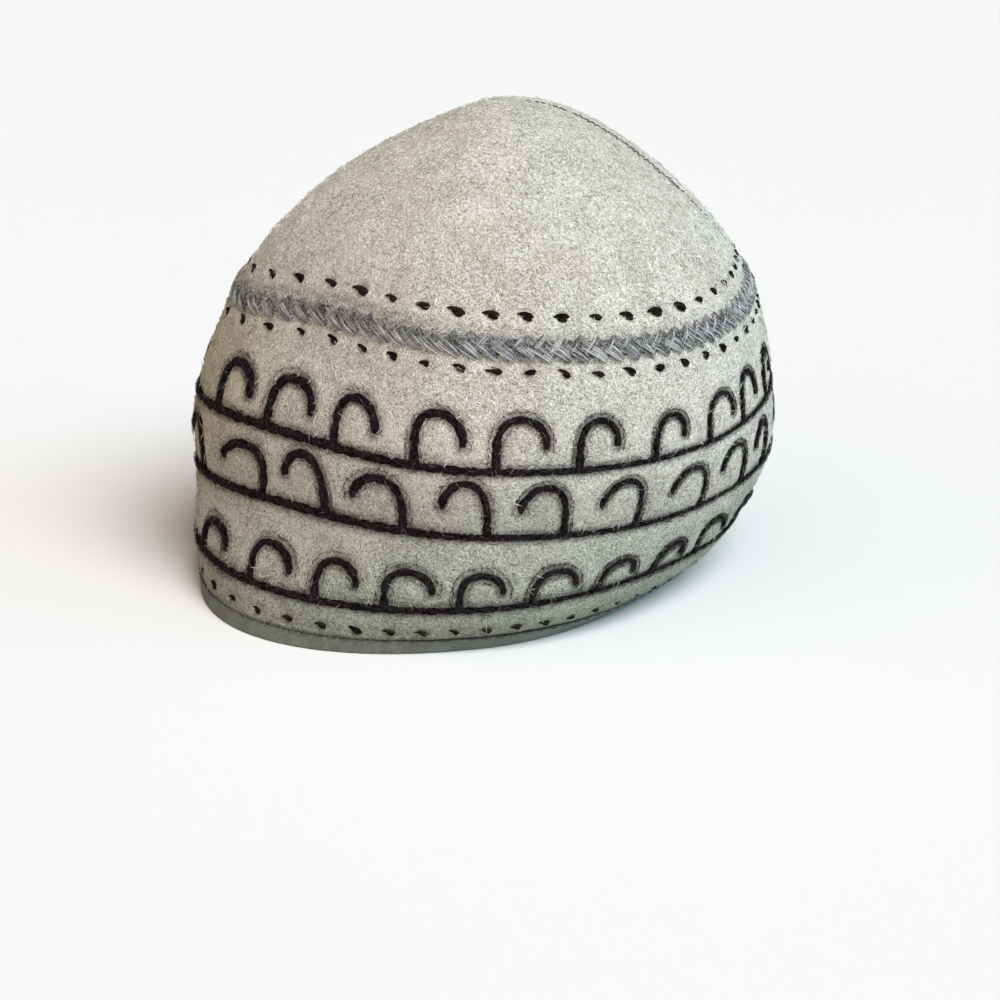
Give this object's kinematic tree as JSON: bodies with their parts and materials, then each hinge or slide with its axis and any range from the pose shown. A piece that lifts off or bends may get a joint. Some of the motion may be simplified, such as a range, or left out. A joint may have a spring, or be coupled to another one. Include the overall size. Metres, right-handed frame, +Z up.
{
  "type": "felted wool skullcap",
  "caption": "Felted wool skullcap with a softly pointed crown, rows of embroidered yarn scrolls, a plaited band and a bound rim, worn on the head.",
  "frame": {"origin": "on the floor, under the middle of the cap's outline", "axes": "+Z up through the crown, -Y out of the face that shows best, +X to the right of that face"},
  "size_m": [0.1888, 0.1778, 0.148],
  "materials": {
    "felt": "fuzzy pale warm grey wool felt",
    "binding": "smoother grey cloth",
    "plait_yarn": "soft grey yarn",
    "scroll_yarn": "dull near-black wool yarn with a plum cast"
  },
  "bodies": {
    "root": {"felt_crown": "felt", "rim_binding": "binding", "plaited_band": "plait_yarn", "lower_scroll": "scroll_yarn", "middle_scroll": "scroll_yarn", "upper_scroll": "scroll_yarn"}
  },
  "joints": []
}
